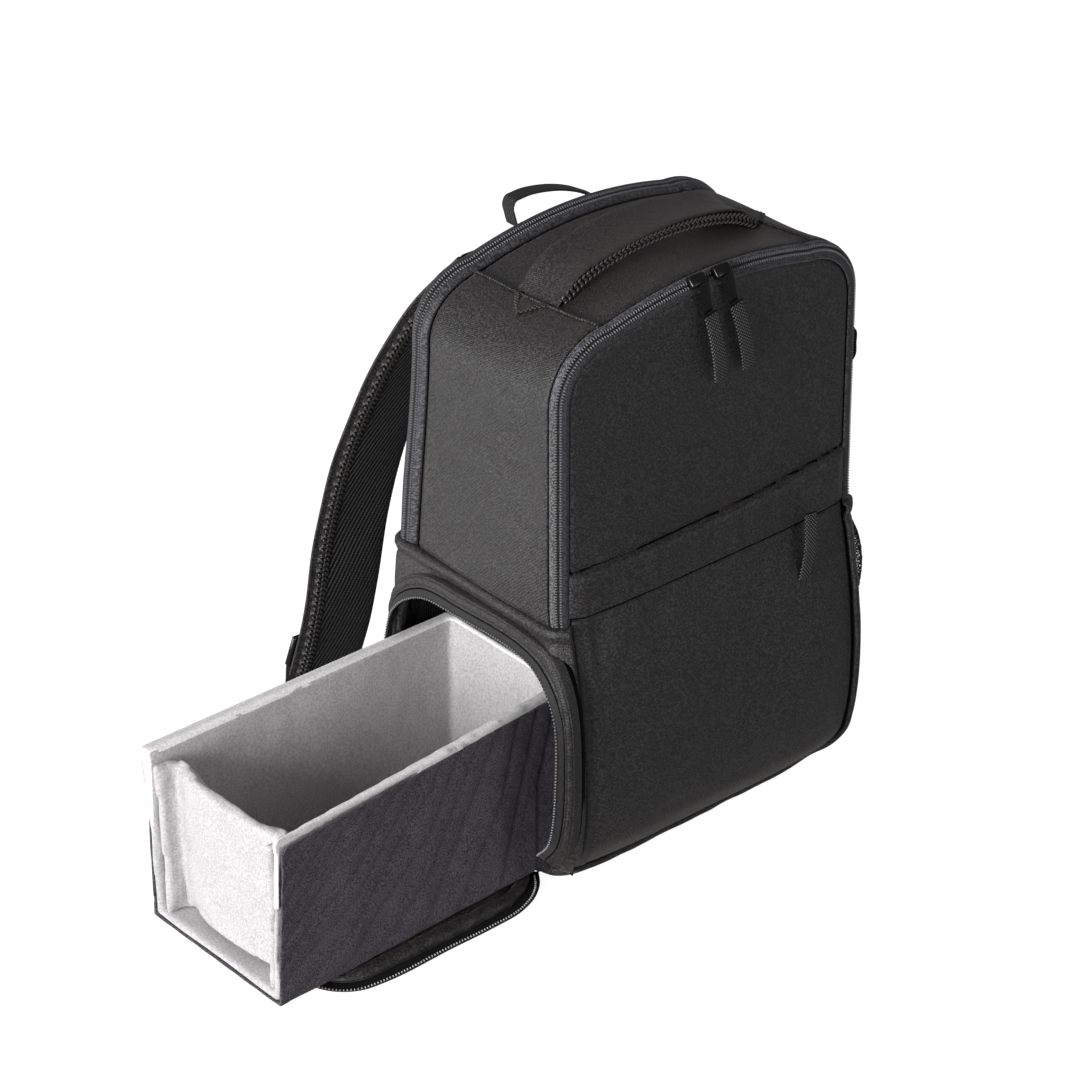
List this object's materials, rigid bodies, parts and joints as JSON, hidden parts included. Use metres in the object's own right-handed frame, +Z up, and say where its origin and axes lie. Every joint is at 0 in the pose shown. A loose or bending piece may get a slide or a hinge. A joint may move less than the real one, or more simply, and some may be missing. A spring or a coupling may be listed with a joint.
{
  "type": "camera backpack",
  "caption": "Upright camera backpack on its flat base, with an open side door and a padded camera insert slid part of the way out of it",
  "frame": {"origin": "middle of the bag's flat base, on the floor", "axes": "+Z up, +X to the right as the front panel is faced, -Y the way the front panel looks, +Y towards the wearer's back"},
  "size_m": [0.562, 0.3841, 0.4888],
  "materials": {
    "satin": "soft satin twill, brownish black",
    "zip_tape": "woven tape with a fine coil",
    "mesh": "black spacer mesh",
    "webbing": "coarse woven webbing",
    "gloss": "dark glossy fittings",
    "charcoal": "matte woolly charcoal cloth",
    "fleece": "short light grey fleece"
  },
  "bodies": {
    "bag": {"main_gusset": "satin", "front_zipper": "zip_tape", "rear_zipper": "zip_tape", "back_gusset": "satin", "front_panel": "satin", "front_pocket": "satin", "pocket_placket": "satin", "pocket_pull": "webbing", "back_panel": "mesh", "lower_shell": "satin", "door_frame": "satin", "door_zipper": "zip_tape", "flap_panel": "satin", "flap_mesh": "mesh", "flap_rim": "satin", "flap_zipper": "zip_tape", "handle_pad": "mesh", "handle_cover": "satin", "handle_anchor_left": "satin", "handle_anchor_right": "satin", "front_slider_left": "gloss", "front_slider_right": "gloss", "front_tab_left": "gloss", "front_tab_right": "gloss", "front_pull_left": "webbing", "front_pull_right": "webbing", "rear_slider": "gloss", "rear_pull": "webbing", "hang_loop": "webbing", "side_loop": "webbing", "mesh_pocket": "mesh", "mesh_pocket_hem": "webbing", "strap_pad_left": "mesh", "strap_pad_right": "mesh", "strap_cover_left": "satin", "strap_cover_right": "satin", "buckle_left": "gloss", "buckle_right": "gloss", "buckle_tab_left": "webbing", "buckle_tab_right": "webbing", "lower_webbing_left": "webbing", "lower_webbing_right": "webbing", "corner_tab_left": "satin", "corner_tab_right": "satin"},
    "insert": {"insert_cover": "charcoal", "insert_lining": "fleece", "insert_divider": "fleece"}
  },
  "joints": [
    {"name": "insert_slide", "type": "slide", "parent": "bag", "child": "insert", "axis": [1, 0, 0], "range_m": [-0.07, 0.216]}
  ]
}
